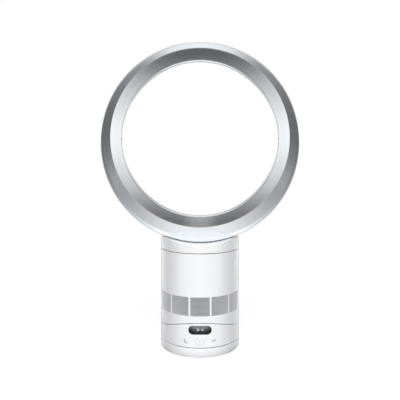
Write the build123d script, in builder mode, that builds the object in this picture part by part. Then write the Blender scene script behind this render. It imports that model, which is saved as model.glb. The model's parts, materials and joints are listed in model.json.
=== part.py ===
from build123d import *
import os
from math import acos, cos, pi, radians, sin, sqrt, tan

# A desk fan with an annular nozzle on a round foot. Millimetres, +Z up, the front faces -Y,
# and the origin is the centre of the underside.

# ---- Driving dimensions: the column ---------------------------------------------------
body_radius = 71.7  # foot, base, body and neck share this outer radius
shell_wall = 2.6
foot_seam = 17.25  # height of the seam between foot and base
seam_gap = 0.6  # width of every seam that shows
running_gap = 0.3  # between parts that slide on each other
fit_gap = 0.2  # between a part and the shell that it sits in
bearing_gap = 0.08  # radial, between a shaft and its hole
screw_fit = 0.02  # radial, between a screw and its hole
wall_bite = 0.5  # how far a joining form runs into the wall that it joins

# ---- Driving dimensions: the tilting cradle -------------------------------------------
cradle_level = 44.0  # lowest line of the cradle, where base and body meet at the sides
cradle_radius = 162.0  # the body tilts about a level axis this high over that line
cradle_wall = 3.0
tilt_range = 10.0  # degrees each way
hook_length = 24.0
hook_web = 3.0
hook_reach = 7.5  # width of a hook's flange, web included
hook_flange = 2.5
hook_inset = 15.5  # from the cradle's posts inwards to a hook's inner face

# ---- Driving dimensions: the foot -----------------------------------------------------
foot_edge_fillet = 2.34
foot_clearance = 0.8  # the foot shell stands this high over the table
cover_bottom = 1.2
cover_wall = 2.5
rubber_inset = 6.9  # from the cover's rim to the rubber ring
rubber_width = 8.0
rubber_depth = 1.0  # how deep the rubber ring sits in the cover
deck_bottom = 9.5
deck_wall = 2.5
hub_radius = 14.0
hub_bore = 5.0
cover_screw_inset = 10.0  # from the rubber ring to the screws' middles
cover_screw_count = 4
screw_shank = 1.5
screw_head = 3.0
screw_head_height = 1.6
screw_bite = 7.0  # how far a screw reaches past its head
gland_height = 8.4
gland_radius = 4.5
gland_bore = 3.2
gland_lip = 1.0  # how far the gland stands inside the shell

# ---- Driving dimensions: the swivel ---------------------------------------------------
gear_module = 1.5
sun_teeth = 32
pinion_teeth = 12
pressure_angle = 20.0
tooth_thinning = 0.16  # each flank stands back by this, for backlash
gear_wall = 5.0
slide_inset = 3.1  # from the shell's inner face to the slide ring
slide_width = 6.0
slide_height = 6.4
swivel_wall = 2.5
retainer_radius = 18.0
retainer_wall = 2.0
retainer_screw_circle = 9.5
retainer_screw_count = 3
pinion_shaft = 2.0
pinion_shaft_depth = 3.5  # how far the shaft reaches into the motor
motor_radius = 13.5
motor_height = 17.0
motor_chamfer = 1.0
motor_ear_width = 7.0
motor_ear_pitch = 35.0
motor_ear_wall = 1.0
board_post_radius = 2.5
cradle_post_radius = 3.0
cradle_post_inset = 17.1  # from the shell's inner face to the posts' middles, sideways
cradle_post_y = 28.0
cradle_screw_depth = 12.0  # from the swivel disc up to the cradle screws' tips

# ---- Driving dimensions: the controls -------------------------------------------------
window_width = 40.6
window_height = 15.2
window_level = 48.7
window_recess = 0.2
button_radius = 7.3
button_level = 29.7
button_gap = 0.3
button_travel = 1.2
button_flange = 0.9  # how far the flange stands out behind the shell
button_flange_wall = 1.2
button_stem = 2.0
board_wall = 1.6
display_board_width = 43.0
display_board_inset = 8.7  # from the shell's inner face to the board's rear face
rib_wall = 2.0
rib_width = 3.0
display_board_gap = 1.3  # from the board up to the cradle plate
switch_size = 6.0
switch_depth = 2.0
main_board_level = 27.0
main_board_width = 66.0
main_board_depth = 32.0
main_board_inset = 5.4  # behind the display board
board_post_inset = 4.0
transformer_width = 16.0
transformer_depth = 14.0
capacitor_radius = 5.0
connector_width = 8.0
component_height = 8.0
component_offset = 20.0  # of the components from the board's middle, sideways

# ---- Driving dimensions: the intake ---------------------------------------------------
intake_rise = 28.5  # from the cradle's lowest line to the windows
intake_height = 32.8
window_count = 12
divider = 3.4
grille_wall = 1.0
grille_recess = 1.4
grille_overlap = 2.5
slot_rows = 3
slot_columns = 5  # in each window
slot_width = 3.0
slot_bridge = 2.2

# ---- Driving dimensions: the air mover ------------------------------------------------
foam_clearance = 6.5  # from the foam's top to the windows
foam_inset = 4.1  # from the shell's inner face to the foam
ledge_rise = 5.2  # from the windows to the ledge that carries the air mover
ledge_wall = 2.5
ledge_width = 8.1
mount_count = 4
mount_inset = 4.1  # from the shell's inner face to the mounts' middles
mount_radius = 3.2
mount_height = 3.0
housing_wall = 2.0
inlet_flare = 12.0
bell_wall = 2.0
duct_inset = 7.1  # from the shell's inner face to the duct's
inlet_inset = 17.0  # from the duct's inner face to the inlet's edge
passage_width = 16.0  # between the motor bucket and the duct
cone_height = 32.0
duct_rise = 6.0  # from the bucket's parting line to the duct's top
bucket_wall = 2.0
bucket_lift = 1.0  # from the cone's top to the bucket
bucket_depth = 19.0  # from the bucket's floor to its parting line
dome_height = 14.0
dome_wall = 2.0
dome_shoulder = 10.0
dome_slope = 4.0
blade_count = 9
blade_wall = 1.6
blade_root_angle = 28.0
blade_tip_angle = 52.0
blade_gap = 0.8
hub_nose = 12.0
hub_wall = 2.4
hub_clearance = 1.0  # between the impeller's hub and what it turns in
nose_height = 6.0
shaft_radius = 3.0
shaft_clearance = 2.0
shaft_press = 0.01  # radial, between the shaft and the impeller on it
impeller_boss = 5.0  # wall of the impeller's boss round the shaft
vane_count = 11
vane_wall = 1.4
vane_height = 15.0
vane_lift = 4.0  # from the bucket's floor to the vanes
vane_turn = 35.0
vane_rim = 1.5
bearing_radius = 8.0
bearing_height = 5.0
stator_inset = 14.0  # from the bucket's outer face to the stator
stator_ring = 4.0
stator_depth = 13.0  # from the stator's rim to its bore
stator_height = 12.0
stator_teeth = 9
tooth_width = 4.0
coil_width = 7.0
coil_length = 5.0
rotor_gap = 0.6
rotor_height = 10.0
foam_disc_wall = 4.0

# ---- Driving dimensions: the nozzle ---------------------------------------------------
collar_rise = 4.8  # from the duct's top to the seam between body and neck
neck_rise = 13.6  # from that seam to the ring's lowest line
ring_radius = 178.8
bore_lift = 8.1  # the bore's axis lies this far over the outer wall's axis
lip_inset = 21.0  # from the outer wall's radius to the lip's
lip_front = -54.0
lip_depth = 2.8
lip_edge = 1.6
shoulder = -40.0  # where the front slope meets the outer wall
ring_rear = 50.0
ring_rear_fillet = 10.0
casing_wall = 2.5
inner_wall = 1.8
throat_inset = 8.1  # from the lip's radius to the throat's
throat = 32.0  # depth at which the air leaves the slot
outlet_slot = 1.2
curl_radius = 12.0
flare_radius = 6.0
port_length = 104.0
port_reach = 13.0  # from the ring's lowest line to the top of the port's cut
port_width = 74.0
port_corner = 22.0
port_middle = -1.0
spacer_count = 12
spacer_length = 4.0
spacer_inset = 1.0  # from the slot's mouth to the spacers
neck_roof = 3.0
collar_wall = 2.4
collar_depth = 10.8  # how far the bayonet collar reaches into the body
collar_reach = 6.3  # how far it reaches into the neck
seal_height = 2.0
seal_width = 4.0

# ---- Worked-out places: heights, stacked from the table up -----------------------------
half_seam = seam_gap / 2
half_run = running_gap / 2
cover_top = cover_bottom + cover_wall
deck_top = deck_bottom + deck_wall
swivel_bottom = deck_top + slide_height + running_gap
swivel_top = swivel_bottom + swivel_wall
hub_top = swivel_top + running_gap
foot_top = foot_seam - half_seam
base_bottom = foot_seam + half_seam
tilt_height = cradle_level + cradle_radius  # height of the axis that the body tilts about
intake_bottom = cradle_level + intake_rise
intake_top = intake_bottom + intake_height
ledge_level = intake_top + ledge_rise
ledge_top = ledge_level + ledge_wall
housing_bottom = ledge_top + mount_height
flange_top = housing_bottom + housing_wall
cone_top = flange_top + cone_height
bucket_floor = cone_top + bucket_lift
bucket_split = bucket_floor + bucket_depth
bucket_top = bucket_split + dome_height
duct_top = bucket_split + duct_rise
collar_seam = duct_top + collar_rise  # the seam between body and neck
body_top = collar_seam - half_seam
neck_bottom = collar_seam + half_seam
collar_top = collar_seam + collar_reach
ring_bottom = collar_seam + neck_rise
ring_height = ring_bottom + ring_radius  # height of the outer wall's axis
bore_height = ring_height + bore_lift
grille_bottom = intake_bottom - grille_overlap
grille_top = intake_top + grille_overlap

# ---- Worked-out places: radii and depths ----------------------------------------------
inner_radius = body_radius - shell_wall
front_face = body_radius - window_recess  # of the display window and the button
plate_radius = inner_radius - fit_gap  # plates that fit inside the shells
rubber_outer = plate_radius - rubber_inset
rubber_inner = rubber_outer - rubber_width
cover_screw_circle = rubber_inner - cover_screw_inset
slide_outer = inner_radius - slide_inset
slide_inner = slide_outer - slide_width
sun_radius = gear_module * sun_teeth / 2
pinion_radius = gear_module * pinion_teeth / 2
pinion_offset = sun_radius + pinion_radius
cradle_post_x = inner_radius - cradle_post_inset
hook_offset = cradle_post_x - hook_inset
tilt_face = cradle_radius - half_run  # convex underside of the tilt plate
cradle_face = cradle_radius + half_run  # concave top of the cradle plate
cradle_back = cradle_face + cradle_wall
hook_inner = cradle_back + running_gap
hook_outer = hook_inner + hook_flange
hook_travel = hook_outer * sin(radians(tilt_range))
cradle_sweep = cradle_radius - sqrt(cradle_radius**2 - body_radius**2) + 3 * cradle_wall
display_board_back = inner_radius - display_board_inset
display_board_top = tilt_height - sqrt(cradle_back**2 - display_board_back**2) - display_board_gap
main_board_front = display_board_back - main_board_inset
grille_outer = body_radius - grille_recess
groove_radius = grille_outer + fit_gap / 2  # of the groove that holds the grille
foam_radius = inner_radius - foam_inset
ledge_inner = inner_radius - ledge_width
mount_circle = inner_radius - mount_inset
duct_radius = inner_radius - duct_inset
inlet_radius = duct_radius - inlet_inset
bucket_radius = duct_radius - passage_width
stator_radius = bucket_radius - stator_inset
stator_bore = stator_radius - stator_depth
rotor_radius = stator_bore - rotor_gap
lip_radius = ring_radius - lip_inset
throat_radius = lip_radius - throat_inset
lip_bore = lip_radius - lip_edge
bore_slope = (lip_bore - throat_radius) / (throat - lip_front)
curl_edge = throat_radius - outlet_slot  # outer face of the curl's tip
curl_tip = curl_edge - inner_wall
curl_middle = ring_rear - curl_radius
bore_axis = Axis((0, 0, bore_height), (0, 1, 0))


# ---- Shared forms ---------------------------------------------------------------------
def disc(radius, bottom, height, bore=0.0, at=(0, 0), mode=Mode.ADD):
    """A lying disc, or a ring where it has a bore."""
    with BuildSketch(Plane((*at, bottom))) as outline:
        Circle(radius)
        if bore > 0:
            Circle(bore, mode=Mode.SUBTRACT)
    extrude(outline.sketch, amount=height, mode=mode)


def pegs(places, radius, bottom, height, mode=Mode.ADD):
    """Equal round pegs or holes that stand at the given places."""
    with BuildSketch(Plane.XY.offset(bottom)) as outline:
        with places:
            Circle(radius)
    extrude(outline.sketch, amount=height, mode=mode)


def turned(points, mode=Mode.ADD):
    """A solid turned about the upright axis from points of radius and height."""
    with BuildSketch(Plane.XZ) as outline:
        with BuildLine():
            Polyline(*points, close=True)
        make_face()
    revolve(outline.sketch, axis=Axis.Z, mode=mode)


def cradle_round(outer, inner=0.0, mode=Mode.ADD, half_width=body_radius + 1):
    """A round slab about the tilt axis, as wide as the column."""
    with BuildSketch(Plane.YZ) as outline:
        with Locations((0, tilt_height)):
            Circle(outer)
            if inner > 0:
                Circle(inner, mode=Mode.SUBTRACT)
    extrude(outline.sketch, amount=half_width, both=True, mode=mode)


def cradle_block(outer, inner, half_length, start, width, mode=Mode.ADD):
    """A block that follows the cradle's curve, on one side of the middle."""
    with BuildSketch(Plane.YZ.offset(start)) as outline:
        with Locations((0, tilt_height)):
            Circle(outer)
            Circle(inner, mode=Mode.SUBTRACT)
        with Locations((0, cradle_level)):
            Rectangle(2 * half_length, 8 * cradle_wall, mode=Mode.INTERSECT)
    extrude(outline.sketch, amount=width, mode=mode)


def pill(width, height, mode=Mode.ADD):
    """A lying slot through the front of the shell, at the height of the display window."""
    rim_depth = sqrt(inner_radius**2 - (width / 2) ** 2) - wall_bite
    with BuildSketch(Plane.XZ.offset(rim_depth)) as outline:
        with Locations((0, window_level)):
            SlotOverall(width, height)
    extrude(outline.sketch, amount=body_radius + wall_bite - rim_depth, mode=mode)


def front_hole(radius, depth):
    """A round hole through the front of the shell, at the height of the power button."""
    with BuildSketch(Plane.XZ.offset(inner_radius - depth)) as outline:
        with Locations((0, button_level)):
            Circle(radius)
    extrude(outline.sketch, amount=depth + shell_wall + wall_bite, mode=Mode.SUBTRACT)


def round_at(y, radius, height):
    """A round face that stands upright at a depth, for the nozzle's walls."""
    with BuildSketch(Plane.XZ.offset(-y)) as outline:
        with Locations((0, height)):
            Circle(radius)
    return outline.sketch


def nozzle_block(front, middle, rear, wall):
    """The nozzle's outer form: a slope from the lip to the shoulder, then a lying drum."""
    shoulder_face = round_at(middle, ring_radius - wall, ring_height)
    loft([round_at(front, lip_radius, bore_height), shoulder_face], ruled=True)
    extrude(shoulder_face, amount=middle - rear)


def spun(points, mode=Mode.ADD):
    """A solid turned about the bore's axis from points of depth and radius."""
    with BuildSketch(Plane.YZ) as outline:
        with BuildLine():
            Polyline(*[(y, bore_height + r) for y, r in points], close=True)
        make_face()
    revolve(outline.sketch, axis=bore_axis, mode=mode)


def air_port():
    """The opening that lets the air from the neck into the ring."""
    with BuildSketch(Plane.XY.offset(collar_seam)) as outline:
        with Locations((0, port_middle)):
            RectangleRounded(port_length, port_width, port_corner)
    extrude(outline.sketch, amount=neck_rise + port_reach, mode=Mode.SUBTRACT)


def bore_radius(y):
    """Radius of the bore's wall, which widens towards the lip."""
    return throat_radius + (throat - y) * bore_slope


def gear_outline(teeth, phase):
    """Corners of an involute gear, with each flank set back for backlash."""
    pitch = gear_module * teeth / 2
    base = pitch * cos(radians(pressure_angle))
    tip = pitch + 0.9 * gear_module
    root = pitch - 1.25 * gear_module
    start = max(base, root)

    def roll(radius):
        angle = acos(min(1.0, base / radius))
        return tan(angle) - angle

    half_tooth = pi / (2 * teeth) - tooth_thinning / pitch + roll(pitch)
    flank = [start, (start + pitch) / 2, pitch, (pitch + tip) / 2, tip]
    side = [(r, half_tooth - roll(r)) for r in flank]
    rise = [(root, -half_tooth)] + [(r, -a) for r, a in side]
    tooth = rise + [(r, a) for r, a in reversed(side)] + [(root, half_tooth)]
    corners = []
    for index in range(teeth):
        middle = 2 * pi * index / teeth + radians(phase)
        corners += [(r * cos(middle + a), r * sin(middle + a)) for r, a in tooth]
    return corners


def save(piece, name):
    """Labels a finished piece and writes it to its own file."""
    piece.part.label = name
    export_step(piece.part, f"parts/{name}.step")


os.makedirs("parts", exist_ok=True)

# ---- Foot -----------------------------------------------------------------------------
cover_screws_at = PolarLocations(cover_screw_circle, cover_screw_count, start_angle=45)
retainer_places = PolarLocations(retainer_screw_circle, retainer_screw_count)

with BuildPart() as foot_shell:
    disc(body_radius, foot_clearance, foot_top - foot_clearance, bore=inner_radius)
    fillet(foot_shell.edges().group_by(Axis.Z)[0].sort_by(SortBy.RADIUS)[-1], foot_edge_fillet)
    disc(inner_radius + wall_bite, deck_bottom, deck_wall)
    disc(hub_radius, deck_top, hub_top - deck_top)
    pegs(cover_screws_at, screw_head, cover_top, deck_bottom - cover_top)
    disc(hub_bore, deck_bottom, hub_top - deck_bottom, mode=Mode.SUBTRACT)
    pegs(cover_screws_at, screw_shank, cover_top, screw_bite, mode=Mode.SUBTRACT)
    pegs(retainer_places, screw_shank, hub_top - screw_bite, screw_bite, mode=Mode.SUBTRACT)
    with BuildSketch(Plane.XZ.offset(-body_radius)):
        with Locations((0, gland_height)):
            Circle(gland_radius)
    extrude(amount=shell_wall * 2, mode=Mode.SUBTRACT)
save(foot_shell, "foot_shell")

with BuildPart() as base_cover:
    disc(plate_radius, cover_bottom, cover_wall)
    disc(rubber_outer, cover_bottom, rubber_depth, bore=rubber_inner, mode=Mode.SUBTRACT)
    pegs(cover_screws_at, screw_head + fit_gap, cover_bottom, screw_head_height, mode=Mode.SUBTRACT)
    pegs(cover_screws_at, screw_shank, cover_bottom, cover_wall, mode=Mode.SUBTRACT)
save(base_cover, "base_cover")

with BuildPart() as rubber_ring:
    disc(rubber_outer, 0, cover_bottom + rubber_depth, bore=rubber_inner)
save(rubber_ring, "rubber_ring")

with BuildPart() as cover_screws:
    pegs(cover_screws_at, screw_head, cover_bottom, screw_head_height)
    pegs(cover_screws_at, screw_shank - screw_fit, cover_bottom + screw_head_height, screw_bite)
save(cover_screws, "cover_screws")

with BuildPart() as cable_gland:
    with BuildSketch(Plane.XZ.offset(-body_radius)):
        with Locations((0, gland_height)):
            Circle(gland_radius - bearing_gap)
            Circle(gland_bore, mode=Mode.SUBTRACT)
    extrude(amount=shell_wall + gland_lip)
save(cable_gland, "cable_gland")

# ---- Swivel ---------------------------------------------------------------------------
with BuildPart() as swivel_gear:
    with BuildSketch(Plane.XY.offset(deck_top)):
        with BuildLine():
            Polyline(*gear_outline(sun_teeth, 0), close=True)
        make_face()
        Circle(hub_radius + bearing_gap, mode=Mode.SUBTRACT)
    extrude(amount=gear_wall)
save(swivel_gear, "swivel_gear")

with BuildPart() as slide_ring:
    disc(slide_outer, deck_top, slide_height, bore=slide_inner)
save(slide_ring, "slide_ring")

with BuildPart() as swivel_retainer:
    disc(retainer_radius, hub_top, retainer_wall, bore=hub_bore)
    pegs(retainer_places, screw_shank, hub_top, retainer_wall, mode=Mode.SUBTRACT)
save(swivel_retainer, "swivel_retainer")

with BuildPart() as retainer_screws:
    pegs(retainer_places, screw_shank - screw_fit, hub_top - screw_bite, screw_bite + retainer_wall)
    pegs(retainer_places, screw_head, hub_top + retainer_wall, screw_head_height)
save(retainer_screws, "retainer_screws")

post_places = GridLocations(2 * cradle_post_x, 2 * cradle_post_y, 2, 2)
board_middle = main_board_depth / 2 - main_board_front
board_post_x = main_board_width / 2 - board_post_inset
board_post_y = main_board_depth / 2 - board_post_inset
board_places = Locations(*[
    (x, board_middle + y)
    for x in (-board_post_x, board_post_x)
    for y in (-board_post_y, board_post_y)
])
motor_place = (0, pinion_offset)
motor_ears = Locations((-motor_ear_pitch / 2, pinion_offset), (motor_ear_pitch / 2, pinion_offset))
shaft_end = swivel_top + pinion_shaft_depth

with BuildPart() as swivel_disc:
    disc(plate_radius, swivel_bottom, swivel_wall, bore=hub_radius + bearing_gap)
    disc(pinion_shaft + bearing_gap, swivel_bottom, swivel_wall, at=motor_place, mode=Mode.SUBTRACT)
    pegs(post_places, cradle_post_radius, swivel_top, cradle_level)
    cradle_round(cradle_back, mode=Mode.SUBTRACT)
    pegs(post_places, screw_shank, swivel_top + cradle_screw_depth - fit_gap, tilt_height,
         mode=Mode.SUBTRACT)
    pegs(board_places, board_post_radius, swivel_top, main_board_level - swivel_top)
    pegs(motor_ears, screw_shank, swivel_bottom, swivel_wall, mode=Mode.SUBTRACT)
save(swivel_disc, "swivel_disc")

with BuildPart() as swivel_motor:
    disc(motor_radius, swivel_top, motor_height, at=motor_place)
    chamfer(swivel_motor.edges().group_by(Axis.Z)[-1], motor_chamfer)
    with BuildSketch(Plane((*motor_place, swivel_top))):
        SlotCenterToCenter(motor_ear_pitch, motor_ear_width)
    extrude(amount=motor_ear_wall)
    pegs(motor_ears, screw_shank, swivel_top, motor_ear_wall, mode=Mode.SUBTRACT)
    disc(pinion_shaft + bearing_gap, swivel_top, pinion_shaft_depth + running_gap, at=motor_place,
         mode=Mode.SUBTRACT)
save(swivel_motor, "swivel_motor")

with BuildPart() as motor_screws:
    pegs(motor_ears, screw_shank - screw_fit, swivel_bottom, swivel_wall + motor_ear_wall)
    pegs(motor_ears, screw_head, swivel_top + motor_ear_wall, screw_head_height)
save(motor_screws, "motor_screws")

with BuildPart() as drive_pinion:
    with BuildSketch(Plane((*motor_place, deck_top + running_gap))):
        with BuildLine():
            Polyline(*gear_outline(pinion_teeth, 180 / pinion_teeth), close=True)
        make_face()
    extrude(amount=gear_wall - 2 * running_gap)
    disc(pinion_shaft, deck_top + running_gap, shaft_end - deck_top - running_gap, at=motor_place)
save(drive_pinion, "drive_pinion")

# ---- Base -----------------------------------------------------------------------------
notch_radius = button_radius + button_flange + 2 * button_gap
with BuildPart() as control_shell:
    disc(inner_radius + wall_bite, swivel_top, rib_wall, bore=inner_radius - rib_width)
    front_hole(notch_radius, rib_width + shell_wall)
    disc(body_radius, base_bottom, cradle_level + cradle_sweep - base_bottom, bore=inner_radius)
    cradle_round(cradle_radius + half_seam, mode=Mode.SUBTRACT)
    pill(window_width, window_height, mode=Mode.SUBTRACT)
    front_hole(button_radius + button_gap, rib_width)
save(control_shell, "control_shell")

with BuildPart() as display_window:
    disc(front_face, window_level - window_height, 2 * window_height, bore=inner_radius)
    pill(window_width - fit_gap, window_height - fit_gap, mode=Mode.INTERSECT)
save(display_window, "display_window")

flange_front = sqrt(inner_radius**2 - (button_radius + button_flange) ** 2) - running_gap
flange_back = flange_front - button_flange_wall
switch_face = display_board_back + board_wall + switch_depth
with BuildPart() as power_button:
    disc(front_face, button_level - button_radius, 2 * button_radius)
    with BuildSketch(Plane.XZ.offset(flange_front)):
        with Locations((0, button_level)):
            Circle(button_radius)
    extrude(amount=body_radius - flange_front, mode=Mode.INTERSECT)
    with BuildSketch(Plane.XZ.offset(flange_front)):
        with Locations((0, button_level)):
            Circle(button_radius + button_flange)
    extrude(amount=-button_flange_wall)
    with BuildSketch(Plane.XZ.offset(flange_back)):
        with Locations((0, button_level)):
            Circle(button_stem)
    extrude(amount=switch_face + button_travel + running_gap - flange_back)
save(power_button, "power_button")

with BuildPart() as display_board:
    with Locations((0, -display_board_back - board_wall / 2, (swivel_top + display_board_top) / 2)):
        Box(display_board_width, board_wall, display_board_top - swivel_top)
save(display_board, "display_board")

with BuildPart() as push_switch:
    with Locations((0, -display_board_back - board_wall - switch_depth / 2, button_level)):
        Box(switch_size, switch_depth, switch_size)
save(push_switch, "push_switch")

with BuildPart() as main_board:
    with Locations((0, board_middle, main_board_level + board_wall / 2)):
        Box(main_board_width, main_board_depth, board_wall)
    with BuildSketch(Plane.XY.offset(main_board_level + board_wall)):
        with Locations((-component_offset, board_middle)):
            Rectangle(transformer_width, transformer_depth)
        with Locations((component_offset, board_middle + connector_width)):
            Circle(capacitor_radius)
        with Locations((component_offset, board_middle - connector_width)):
            Rectangle(connector_width, connector_width)
    extrude(amount=component_height)
save(main_board, "main_board")

slot_half = hook_length / 2 + hook_travel + running_gap
cradle_head = tilt_height - sqrt(cradle_back**2 - cradle_post_y**2) + cradle_wall / 3
with BuildPart() as cradle_plate:
    disc(plate_radius, tilt_height - hook_outer, cradle_sweep)
    cradle_round(cradle_back, inner=cradle_face, mode=Mode.INTERSECT)
    for start in (hook_offset - running_gap, -hook_offset - hook_web - running_gap):
        cradle_block(cradle_back + wall_bite, cradle_face - wall_bite, slot_half, start,
                     hook_web + 2 * running_gap, mode=Mode.SUBTRACT)
    pegs(post_places, screw_shank, 0, tilt_height, mode=Mode.SUBTRACT)
    pegs(post_places, screw_head + fit_gap, cradle_head, tilt_height, mode=Mode.SUBTRACT)
save(cradle_plate, "cradle_plate")

with BuildPart() as cradle_screws:
    pegs(post_places, screw_shank - screw_fit, swivel_top + cradle_screw_depth,
         cradle_head - swivel_top - cradle_screw_depth)
    pegs(post_places, screw_head, cradle_head, screw_head_height)
save(cradle_screws, "cradle_screws")

# ---- Body shell and cradle runner -----------------------------------------------------
with BuildPart() as tilt_plate:
    disc(plate_radius, cradle_level, cradle_sweep)
    cradle_round(tilt_face, inner=tilt_face - cradle_wall, mode=Mode.INTERSECT)
    for web, flange in ((hook_offset, hook_offset),
                        (-hook_offset - hook_web, -hook_offset - hook_reach)):
        cradle_block(hook_outer, tilt_face - wall_bite, hook_length / 2, web, hook_web)
        cradle_block(hook_outer, hook_inner, hook_length / 2, flange, hook_reach)
save(tilt_plate, "tilt_plate")

with BuildPart() as main_shell:
    disc(body_radius, cradle_level, body_top - cradle_level, bore=inner_radius)
    disc(groove_radius, grille_bottom - fit_gap / 2, grille_top - grille_bottom + fit_gap,
         bore=inner_radius - wall_bite, mode=Mode.SUBTRACT)
    cradle_round(cradle_radius - half_seam, mode=Mode.INTERSECT)
    disc(inner_radius + wall_bite, ledge_level, ledge_wall, bore=ledge_inner)
    window_chord = 2 * body_radius * sin(pi / window_count) - divider
    with Locations((0, 0, (intake_bottom + intake_top) / 2)):
        with PolarLocations(body_radius - shell_wall / 2, window_count):
            Box(2 * shell_wall, window_chord, intake_height, mode=Mode.SUBTRACT)
save(main_shell, "main_shell")

row_height = (intake_height - slot_bridge) / slot_rows - slot_bridge
with BuildPart() as intake_grille:
    disc(grille_outer, grille_bottom, grille_top - grille_bottom, bore=grille_outer - grille_wall)
    for row in range(slot_rows):
        level = intake_bottom + slot_bridge + row * (row_height + slot_bridge) + row_height / 2
        with Locations((0, 0, level)):
            with PolarLocations(grille_outer, window_count * slot_columns):
                Box(4 * grille_wall, slot_width, row_height, mode=Mode.SUBTRACT)
save(intake_grille, "intake_grille")

with BuildPart() as lower_foam:
    disc(foam_radius, cradle_level, intake_rise - foam_clearance)
    cradle_round(tilt_face - cradle_wall - running_gap, mode=Mode.INTERSECT)
save(lower_foam, "lower_foam")

# ---- Air mover ------------------------------------------------------------------------
mount_places = PolarLocations(mount_circle, mount_count, start_angle=45)
with BuildPart() as isolator_mounts:
    pegs(mount_places, mount_radius, ledge_top, mount_height)
save(isolator_mounts, "isolator_mounts")

with BuildPart() as inlet_bell:
    with BuildSketch(Plane.XZ):
        with BuildLine():
            CenterArc((inlet_radius + inlet_flare, housing_bottom), inlet_flare, 180, 90)
            CenterArc((inlet_radius + inlet_flare, housing_bottom), inlet_flare - bell_wall, 180, 90)
            Line((inlet_radius, housing_bottom), (inlet_radius + bell_wall, housing_bottom))
            Line((inlet_radius + inlet_flare, housing_bottom - inlet_flare),
                 (inlet_radius + inlet_flare, housing_bottom - inlet_flare + bell_wall))
        make_face()
    revolve(axis=Axis.Z)
save(inlet_bell, "inlet_bell")

with BuildPart() as impeller_housing:
    turned([
        (inlet_radius, housing_bottom),
        (plate_radius, housing_bottom),
        (plate_radius, flange_top),
        (inlet_radius + housing_wall, flange_top),
        (duct_radius + housing_wall, cone_top),
        (duct_radius + housing_wall, duct_top),
        (duct_radius, duct_top),
        (duct_radius, cone_top),
        (inlet_radius, flange_top),
    ])
save(impeller_housing, "impeller_housing")

bearing_low = bucket_floor + bucket_wall
with BuildPart() as motor_bucket_lower:
    disc(bucket_radius, bucket_floor, bucket_split - bucket_floor)
    disc(bucket_radius - bucket_wall, bearing_low, bucket_split - bearing_low, mode=Mode.SUBTRACT)
    disc(bearing_radius + bucket_wall, bearing_low, bearing_height)
    disc(bearing_radius, bearing_low, bearing_height, mode=Mode.SUBTRACT)
    disc(shaft_radius + shaft_clearance, bucket_floor, bucket_wall, mode=Mode.SUBTRACT)
save(motor_bucket_lower, "motor_bucket_lower")

dome_bore = bucket_radius - dome_shoulder
with BuildPart() as motor_bucket_upper:
    turned([
        (0, bucket_split + bearing_height),
        (bearing_radius, bucket_split + bearing_height),
        (bearing_radius, bucket_split),
        (bearing_radius + bucket_wall, bucket_split),
        (bearing_radius + bucket_wall, bucket_top - dome_wall),
        (dome_bore, bucket_top - dome_wall),
        (dome_bore, bucket_split + dome_slope + bucket_wall),
        (bucket_radius - bucket_wall, bucket_split),
        (bucket_radius, bucket_split),
        (bucket_radius, bucket_split + dome_slope),
        (dome_bore + dome_slope, bucket_top - dome_wall - dome_slope / 4),
        (dome_bore - dome_slope, bucket_top),
        (0, bucket_top),
    ])
save(motor_bucket_upper, "motor_bucket_upper")

with BuildPart() as motor_foam:
    disc(dome_bore - running_gap, bucket_top - dome_wall - foam_disc_wall, foam_disc_wall,
         bore=bearing_radius + bucket_wall + running_gap)
save(motor_foam, "motor_foam")

with BuildPart() as motor_bearings:
    disc(bearing_radius, bearing_low, bearing_height, bore=shaft_radius + bearing_gap)
    disc(bearing_radius, bucket_split, bearing_height, bore=shaft_radius + bearing_gap)
save(motor_bearings, "motor_bearings")

stator_bottom = bearing_low + bearing_height
tooth_length = stator_depth - stator_ring
rotor_lift = (stator_height - rotor_height) / 2
with BuildPart() as motor_stator:
    disc(stator_radius, stator_bottom, stator_height, bore=stator_radius - stator_ring)
    with Locations((0, 0, stator_bottom + stator_height / 2)):
        with PolarLocations(stator_radius - stator_ring - tooth_length / 2, stator_teeth):
            Box(tooth_length + stator_ring / 2, tooth_width, stator_height)
        with PolarLocations(stator_radius - stator_ring - tooth_length / 2, stator_teeth):
            Box(coil_length, coil_width, stator_height - stator_ring / 2)
    disc(stator_bore, stator_bottom, stator_height, mode=Mode.SUBTRACT)
    disc(bucket_radius - bucket_wall, stator_bottom, bucket_wall, bore=stator_radius - stator_ring / 2)
save(motor_stator, "motor_stator")

with BuildPart() as motor_rotor:
    disc(rotor_radius, stator_bottom + rotor_lift, rotor_height)
    disc(shaft_radius, flange_top, bucket_split + bearing_height - rotor_lift - flange_top)
save(motor_rotor, "motor_rotor")


def passage_edge(height, gap):
    """Radius of the housing's cone at a height, less a gap."""
    share = (height - flange_top) / cone_height
    return inlet_radius + share * (duct_radius - inlet_radius) - gap


hub_low = flange_top - hub_clearance
hub_high = cone_top - hub_clearance
hub_foot = bucket_radius - hub_clearance
blade_bottom = flange_top
blade_top = hub_high - hub_clearance
with BuildPart() as blade:
    for radius, angle in ((hub_nose, blade_root_angle), (duct_radius, blade_tip_angle)):
        with BuildSketch(Plane.YZ.offset(radius)):
            with Locations((0, (hub_low + hub_high) / 2)):
                Rectangle(blade_wall, cone_height / cos(radians(angle)), rotation=angle)
    loft(ruled=True)
    turned([
        (hub_nose - hub_clearance, blade_bottom),
        (passage_edge(blade_bottom, blade_gap), blade_bottom),
        (passage_edge(blade_top, blade_gap), blade_top),
        (hub_foot - 2 * hub_clearance, blade_top),
        (hub_nose, hub_low + nose_height),
    ], mode=Mode.INTERSECT)

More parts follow.
